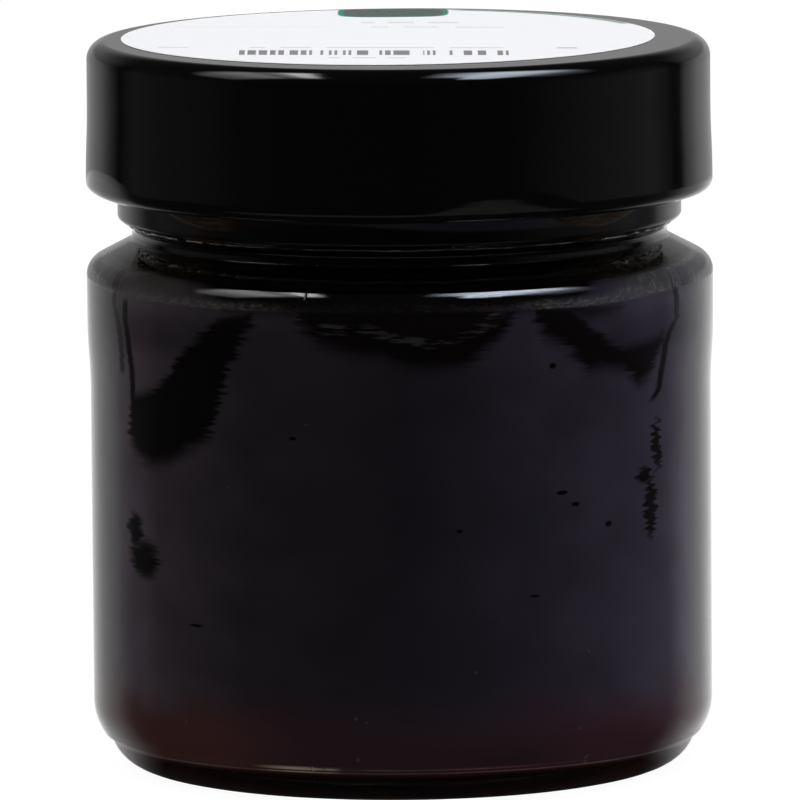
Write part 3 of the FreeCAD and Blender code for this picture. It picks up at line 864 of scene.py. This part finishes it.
# %% Bars and rules
paper = finish_on(label, "printed paper", "label")
x, y, z = paper.place()
u, v = x - LABEL_RIGHT, y - LABEL_BACK
ASKEW, INK_EDGE = 0.085, 0.12
row = v + u * ASKEW


def field(left, right, low, high):
    """1 inside a box of the print's rows, with a soft edge of ink."""
    inside = 1
    for over in (u - left, right - u, row - low, high - row):
        inside = over.step(-INK_EDGE, INK_EDGE) * inside
    return inside


def broken(each, share, seed):
    """1 on a share of the steps of a given length along a row, picked by chance."""
    steps = u.work("FLOOR", u / each + seed)
    dice = paper.add("ShaderNodeTexWhiteNoise", {"noise_dimensions": "1D"}, {"W": steps})
    return dice.step(share - 0.01, share + 0.01)


bars = field(-16.5, 2.4, -19.8, -15.0) + field(3.9, 13.6, -19.8, -15.0)
bars = bars * broken(0.31, 0.5, 3) * 0.95
rules = field(-24, -7, 9.9, 10.3) * 0.16
for left, right, low, high, each, seed, tone in [
        (-25.5, 12.8, -12.3, -11.7, 1.7, 9, 0.5), (-7.5, 2.0, -23.0, -22.3, 1.3, 5, 0.4),
        (-6, 13, 9.6, 10.6, 1.9, 1, 0.28), (-5, 8, 14.4, 15.8, 1.5, 2, 0.28),
        (18.2, 23.6, -12.7, -11.5, 1.1, 7, 0.6)]:
    rules = rules + field(left, right, low, high) * broken(each, 0.3, seed) * tone
print("nodes in the bars and rules:", len(paper.tree.nodes))

# %% [markdown]
# The tab is a box with round corners, which is where (u / a)^4 + (v / b)^4 is less than 1,
# and the green line is a part of a ring, so it is masked by its distance from the middle
# and by its bearing.

# %% Tab and green line
off = (u * u + v * v) ** 0.5
bearing = u.work("ARCTAN2", v, u) * DEGREES
green_line = off.step(28.7, 28.9) * off.step(29.75, 29.55)
green_line = green_line * bearing.step(22, 26) * bearing.step(78, 72)
tab = ((u - 0.6).size() / 6.2) ** 4 + ((v - 26.2).size() / 5.2) ** 4

# %% [markdown]
# The paper is matt and a little cloudy with fibre. The inks go over it one by one.

# %% Label finish
fibre = paper.noise(x * 3, y * 3, z * 3, 4.0)
dark_print = paper.mix(fibre.step(0.4, 0.6), (0.05, 0.07, 0.06, 1), (0.09, 0.11, 0.10, 1))
tint = paper.mix(fibre, (0.86, 0.86, 0.88, 1), (0.91, 0.91, 0.92, 1))
tint = paper.mix(bars, tint, (0.16, 0.16, 0.17, 1))
tint = paper.mix(rules, tint, (0.2, 0.2, 0.21, 1))
tint = paper.mix(green_line * 0.8, tint, (0.03, 0.16, 0.11, 1))
tint = paper.mix(tab.step(1.15, 0.95), tint, (0.03, 0.20, 0.14, 1))
tint = paper.mix(tab.step(0.75, 0.6), tint, dark_print)
paper.surface(Base_Color=tint, Roughness=0.5)

# %% [markdown]
# ## The floor
# A plain pale sheet. Seen straight on it is white, and it keeps a soft shadow. In gloss it
# shows only next to the jar; farther out it lets mirrored light through to the room, where
# the light can be set by direction. In front of the jar a plain mirror ray meets a dark
# patch a hand wide, because a white one there would make the dark foot look milky.

# %% Floor
FLOOR_HALF = 1.2
corners = [(-FLOOR_HALF, -FLOOR_HALF, 0), (FLOOR_HALF, -FLOOR_HALF, 0),
           (FLOOR_HALF, FLOOR_HALF, 0), (-FLOOR_HALF, FLOOR_HALF, 0)]
floor_mesh = bpy.data.meshes.new("floor")
floor_mesh.from_pydata(corners, [], [(0, 1, 2, 3)])
floor = bpy.data.objects.new("floor", floor_mesh)
bpy.context.collection.objects.link(floor)
floor_paint = bpy.data.materials.new("floor")
floor_mesh.materials.append(floor_paint)
print("floor: %.1f m square" % (2 * FLOOR_HALF))

# %% Floor finish
sheet = Board(floor_paint)
x, y, z = sheet.place()
away = (x * x + y * y) ** 0.5
in_front = sheet.around(x, y).size().step(90, 60)
mirrored = sheet.ray("Is Glossy Ray")
plain_mirror = mirrored * (1 - sheet.ray("Is Transmission Ray"))
paint = sheet.add("ShaderNodeBsdfDiffuse", sockets={"Color": (0.9, 0.9, 0.9, 1)})
white = sheet.add("ShaderNodeEmission", sockets={"Color": (1, 1, 1, 1), "Strength": 1.06})
dark = sheet.add("ShaderNodeEmission", sockets={"Color": (1, 1, 1, 1), "Strength": 0.015})
nothing = sheet.add("ShaderNodeBsdfTransparent")
seen = sheet.mix_shaders(sheet.ray("Is Camera Ray") * 0.9, paint, white)
seen = sheet.mix_shaders(mirrored * away.step(34, 40), seen, nothing)
seen = sheet.mix_shaders(plain_mirror * in_front * away.step(130, 100), seen, dark)
sheet.add("ShaderNodeOutputMaterial", sockets={"Surface": seen})

# %% [markdown]
# ## The room
# Behind the jar stands a white sheet, and the room falls dark towards the camera. Glass
# and lacquer show what is round them, so the room is written as a brightness for each
# direction: the angle from straight behind, once for the left and once for the right.
# The camera looks down a little, so light off an upright wall comes from just under the
# horizon, and light off the lid's spread edge from above that. Each has its own tables.

# %% Room
world = bpy.data.worlds.new("studio")
bpy.context.scene.world = world
room = Board(world)
x, y, z = room.parts(room.add("ShaderNodeTexCoord", out=0))
aside = x.work("ARCTAN2", x.size(), y) * DEGREES
up = z.work("ARCSINE", z) * DEGREES
right = x.step(-0.02, 0.02)

low_right = room.table(aside, 0, 180, [
    (0, 1.0), (14, 1.0), (20, .98), (26, .88), (33, .72), (40, .6), (48, .48), (56, .24),
    (64, .08), (80, .04), (120, .02), (180, .01)])
low_left = room.table(aside, 0, 180, [
    (0, 1.0), (14, .82), (26, .62), (40, .46), (48, .34), (54, .16), (60, .05), (80, .02),
    (120, .015), (180, .01)])
high_right = room.table(aside, 0, 180, [
    (0, .45), (14, .5), (26, .52), (36, .52), (40, .44), (48, .27), (53, .03), (58, .02),
    (64, .08), (74, .17), (91, .15), (106, .12), (120, .08), (140, .015), (180, .01)])
high_left = room.table(aside, 0, 180, [
    (0, .45), (14, .45), (26, .42), (37, .35), (47, .13), (54, .012), (60, .05), (66, .09),
    (91, .08), (106, .07), (120, .03), (140, .015), (180, .01)])
low_part = room.mix(right, low_left, low_right)
high_part = room.mix(right, high_left, high_right)
shown = room.mix(up.step(-7.3, -6.4), low_part, high_part)

# %% [markdown]
# Over the horizon the room is dimmer, and overhead nearly black. Low down on the camera's
# side lies a grey patch, which is what rounded lower edges mirror, and straight down it is
# black again. Each of these is laid over the last. An image of a real room would do too,
# but here every brightness can be set by itself.

# %% Over and under the horizon
for share, grey in [
        (up.step(4, 9) * 0.4, (0.02, 0.015, 0.015, 1)),
        (up.step(12, 34), (0.03, 0.03, 0.03, 1)),
        (up.step(-17, -21) * aside.step(100, 130), (0.22, 0.22, 0.23, 1)),
        (up.step(-30, -60), (0.02, 0.02, 0.02, 1))]:
    shown = room.mix(share, shown, grey)

# %% [markdown]
# Two long panels over the jar make the streaks along its shoulder and the rim of the lid.
# Their ends fade, so they are painted on the room too: a direction is followed up to a
# ceiling, where it lands at (across, along), and a table says how bright the panel is.
# They bend at the sides, which keeps the streaks even as they follow the round shoulder.

# %% Panels that show in the gloss
PANEL_LIGHT = 12
over = z.most(0.05)
across, along = x / over, y / over
bent = along + (across * across * 0.13).least(0.4)
near_end = bent + 0.55 + across.step(0.3, 0.42) * across.step(0.85, 0.6) * 0.3
far_end = 0.36 - bent + across.step(0, -0.6) * 0.08
deep = near_end.step(0, 0.35) * far_end.step(0, 0.25) * z.step(0.3, 0.4)
left_panel = room.table(across - along * 0.25, -1.8, 0, [
    (-1.8, 0), (-1.5, .06), (-1.0, .15), (-0.75, .25), (-0.6, .28), (-0.5, .15),
    (-0.43, .3), (-0.37, .85), (-0.32, .8), (-0.28, .1), (-0.26, 0), (0, 0)])
right_panel = room.table(across, 0, 1.6, [
    (0, 0), (0.1, 0), (0.16, .2), (0.24, .6), (0.34, 1.05), (0.46, 1.0), (0.56, .9),
    (0.66, .6), (0.8, .2), (1.0, .06), (1.4, 0), (1.6, 0)])
panels = (left_panel + right_panel) * deep * PANEL_LIGHT
cool = room.mix(right * z.step(0.3, 0.4), (1, 1, 1, 1), (0.86, 0.95, 1.1, 1))

# %% [markdown]
# Only mirrored light sees all this. The camera sees white, and matt surfaces are lit by an
# even grey. The panels are left out where one looks straight through the glass, but not
# where the honey's skin gives light back through it.

# %% Room's light
through = room.ray("Is Transmission Ray")
mirrored = room.ray("Is Glossy Ray").most(through)
bounced = room.ray("Diffuse Depth").least(1)
looked_through = through * (1 - bounced)
plain = room.mix(room.ray("Is Camera Ray"), (0.55, 0.55, 0.56, 1), (1, 1, 1, 1))
light = room.mix(mirrored, plain, shown)
back = room.add("ShaderNodeBackground", sockets={0: light, 1: 1.0})
panel_light = panels * mirrored * (1 - looked_through)
glow = room.add("ShaderNodeBackground", sockets={0: cool, 1: panel_light})
both = room.add("ShaderNodeAddShader", sockets={0: back, 1: glow})
room.add("ShaderNodeOutputWorld", sockets={0: both})
print("room: %d nodes" % len(room.tree.nodes))

# %% [markdown]
# ## Lamps
# Two soft boxes hang over the jar, one to each side, with a gap between them. They light
# everything that isn't a mirror; what mirrors show of them is painted above. Each is given
# by its corners, for a ceiling one metre up, and scaled to the height where it hangs.

# %% Lamps
HANG = 0.9


def soft_box(name, x0, x1, y0, y1, brightness):
    """A flat lamp in the ceiling. Its power is brightness * pi * its area."""
    lamp = bpy.data.lights.new(name, "AREA")
    lamp.shape = "RECTANGLE"
    lamp.size, lamp.size_y = (x1 - x0) * HANG, (y1 - y0) * HANG
    lamp.energy = brightness * math.pi * lamp.size * lamp.size_y
    box = bpy.data.objects.new(name, lamp)
    box.location = ((x0 + x1) / 2 * HANG, (y0 + y1) / 2 * HANG, HANG)
    box.visible_glossy = False
    box.visible_transmission = False
    bpy.context.collection.objects.link(box)
    print("%s: %.1f W" % (name, lamp.energy))


soft_box("left soft box", -1.6, -0.25, -0.6, 0.45, 1.6)
soft_box("right soft box", 0.12, 1.3, -0.6, 0.5, 1.9)
